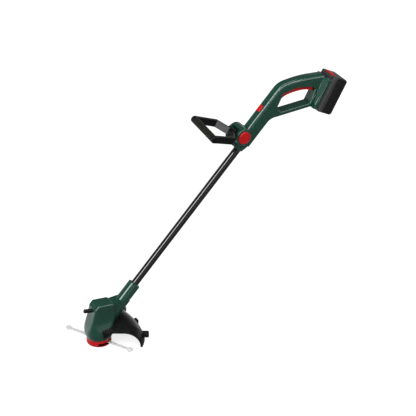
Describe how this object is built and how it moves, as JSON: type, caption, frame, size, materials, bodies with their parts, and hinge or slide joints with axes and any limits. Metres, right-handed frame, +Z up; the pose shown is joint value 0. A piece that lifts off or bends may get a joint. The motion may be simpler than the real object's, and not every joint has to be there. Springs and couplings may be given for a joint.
{
  "type": "string trimmer",
  "caption": "Cordless grass trimmer: tilted motor head with guard and swinging blades on a round tube, closed trigger handle, tilting front loop grip and slide-on battery.",
  "frame": {"origin": "centre of the glide cup's flat underside, on the ground, on the cutting disc's axis", "axes": "+Z up along the cutting disc's axis, +X level from the cutting head towards the handle, +Y towards the far side of the tool"},
  "size_m": [1.0006, 0.23, 0.7731],
  "materials": {
    "green_shell": "gloss, dark green, fine moulded skin",
    "black_tube": "gloss black powder coat",
    "black_plastic": "satin black, fine grain",
    "grip_rubber": "matt black soft sleeve",
    "red_plastic": "semi-gloss red",
    "cup_black": "smooth black, worn underneath",
    "blade_plastic": "milky white nylon",
    "steel": "bright zinc plated",
    "black_steel": "black oxide",
    "motor_steel": "drawn steel can",
    "magnet_grey": "sintered dark grey",
    "copper": "enamelled copper",
    "bronze": "sintered bronze",
    "carbon": "pressed carbon",
    "motor_plastic": "moulded black",
    "plunger_white": "natural acetal",
    "contact_brass": "stamped brass",
    "wire_black": "wire insulation",
    "wire_red": "wire insulation",
    "pack_black": "satin near-black, fine grain",
    "pack_grey": "satin charcoal",
    "cell_sleeve": "shrink sleeve",
    "holder_white": "moulded frame",
    "nickel": "nickel strip",
    "board_green": "circuit board"
  },
  "bodies": {
    "body": {"head_shell_near": "green_shell", "head_shell_far": "green_shell", "head_screws": "steel", "front_catch": "black_plastic", "guard": "black_plastic", "guard_lugs": "black_plastic", "motor_can": "motor_steel", "motor_magnets": "magnet_grey", "carbon_brushes": "carbon", "motor_end_cap": "motor_plastic", "motor_bushes": "bronze", "shaft_tube": "black_tube", "tube_pins": "steel", "handle_shell_near": "green_shell", "handle_shell_far": "green_shell", "handle_screws": "steel", "pivot_pin": "steel", "knob_spring": "steel", "trigger_pin": "steel", "trigger_spring": "steel", "switch_body": "motor_plastic", "switch_tabs": "contact_brass", "lock_off_spring": "steel", "terminal_block": "motor_plastic", "terminal_blades": "contact_brass", "lead_black": "wire_black", "lead_red_supply": "wire_red", "lead_red_switched": "wire_red"},
    "rotor": {"motor_shaft": "steel", "armature_core": "magnet_grey", "armature_windings": "copper", "commutator": "copper", "drive_hub": "cup_black", "cutting_disc": "red_plastic", "glide_cup": "cup_black", "disc_nut": "steel", "blade_pins": "steel"},
    "blade_near": {"blade_near": "blade_plastic"},
    "blade_far": {"blade_far": "blade_plastic"},
    "front_handle": {"front_handle_frame": "black_plastic", "front_grip_sleeve": "grip_rubber"},
    "knob": {"tilt_lock_knob": "red_plastic"},
    "lock_off": {"lock_off_button": "red_plastic"},
    "trigger": {"trigger": "red_plastic"},
    "plunger": {"switch_plunger": "plunger_white"},
    "battery": {"pack_cover": "pack_grey", "pack_case": "pack_black", "pack_screws": "black_steel", "battery_cells": "cell_sleeve", "cell_holders": "holder_white", "cell_straps": "nickel", "pack_board": "board_green", "pack_contacts": "contact_brass", "release_spring": "steel"},
    "release": {"release_button": "red_plastic"}
  },
  "joints": [
    {"name": "disc_spin", "type": "hinge", "parent": "body", "child": "rotor", "pos_m": [0, 0, 0], "axis": [0, 0, 1], "continuous": true},
    {"name": "blade_near_swing", "type": "hinge", "parent": "rotor", "child": "blade_near", "pos_m": [0.01454, -0.02624, 0.0075], "axis": [0, 0, 1], "range_deg": [-50, 0]},
    {"name": "blade_far_swing", "type": "hinge", "parent": "rotor", "child": "blade_far", "pos_m": [-0.01454, 0.02624, 0.0075], "axis": [0, 0, 1], "range_deg": [-50, 0]},
    {"name": "front_handle_tilt", "type": "hinge", "parent": "body", "child": "front_handle", "pos_m": [0.53782, 0, 0.62647], "axis": [0, 1, 0], "range_deg": [-18, 18]},
    {"name": "knob_press", "type": "slide", "parent": "body", "child": "knob", "axis": [0, 1, 0], "range_m": [0, 0.003], "stiffness_N_per_m": 1500, "springref_m": -0.003},
    {"name": "lock_off_press", "type": "slide", "parent": "body", "child": "lock_off", "axis": [0.7071, 0, -0.7071], "range_m": [0, 0.003], "stiffness_N_per_m": 500, "springref_m": -0.003},
    {"name": "trigger_squeeze", "type": "hinge", "parent": "body", "child": "trigger", "pos_m": [0.69772, 0, 0.74372], "axis": [0, -1, 0], "range_deg": [0, 4], "stiffness_Nm_per_rad": 5, "springref_deg": -4.01, "deforming": ["trigger_spring"]},
    {"name": "plunger_press", "type": "slide", "parent": "body", "child": "plunger", "axis": [0, 0, 1], "range_m": [0, 0.0032]},
    {"name": "battery_slide", "type": "slide", "parent": "body", "child": "battery", "axis": [0.5, 0, 0.866], "range_m": [0, 0.085]},
    {"name": "release_press", "type": "slide", "parent": "battery", "child": "release", "axis": [-0.5, 0, -0.866], "range_m": [0, 0.0025], "stiffness_N_per_m": 600, "springref_m": -0.003}
  ],
  "couplings": [
    {"joint": "plunger_press", "follows": "trigger_squeeze", "m_per_rad": 0.044}
  ]
}
